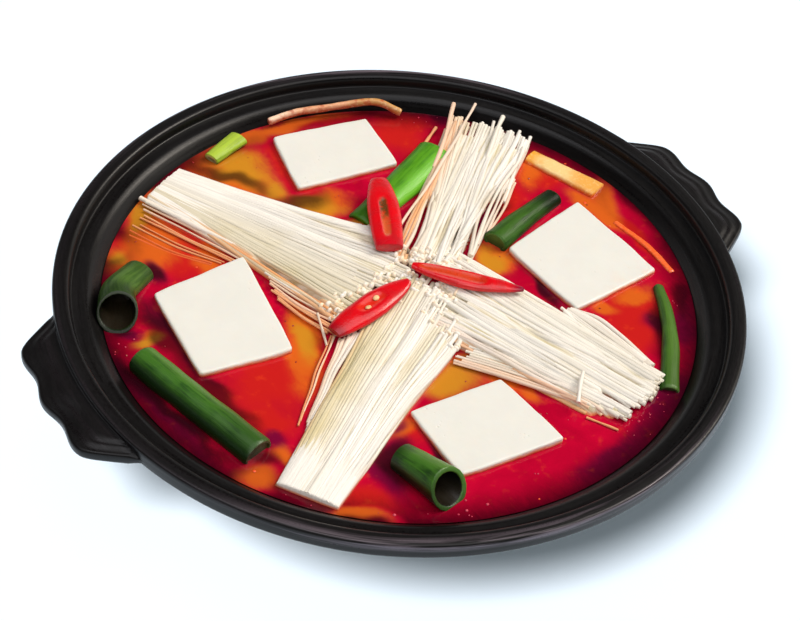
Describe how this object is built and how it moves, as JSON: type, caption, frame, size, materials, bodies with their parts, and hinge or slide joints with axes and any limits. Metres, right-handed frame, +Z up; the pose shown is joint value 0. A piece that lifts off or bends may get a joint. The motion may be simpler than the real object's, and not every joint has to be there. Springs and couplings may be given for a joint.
{
  "type": "hot pot",
  "caption": "Low round black pot with wing lugs, full of red broth that carries tofu slices, enoki bundles fanned in a cross, green onion and chili.",
  "frame": {"origin": "centre of the flat base, at the bottom centre of the bounding box", "axes": "+X along the line through the two lugs, +Y to the back of the pot, +Z up out of the mouth"},
  "size_m": [0.3102, 0.28, 0.0641],
  "materials": {
    "pot": "satin black stoneware",
    "broth": "clear red chili broth",
    "tofu": "smooth moist white tofu",
    "enoki": "moist cream strands",
    "green_onion": "waxy green",
    "chili": "glossy red",
    "carrot": "moist orange",
    "mushroom": "moist tan"
  },
  "bodies": {
    "root": {"pot": "pot", "broth": "broth", "tofu_back": "tofu", "tofu_left": "tofu", "tofu_right": "tofu", "tofu_front": "tofu", "enoki_front_left": "enoki", "enoki_back_left": "enoki", "enoki_front_right": "enoki", "enoki_back_right": "enoki", "onion_bright": "green_onion", "onion_right_short": "green_onion", "onion_right_rim": "green_onion", "onion_left_tube": "green_onion", "onion_left_long": "green_onion", "onion_front_tube": "green_onion", "onion_small": "green_onion", "chili_back": "chili", "chili_left": "chili", "chili_right": "chili", "carrot_stick": "carrot", "carrot_sliver": "carrot", "mushroom_strip": "mushroom"}
  },
  "joints": []
}
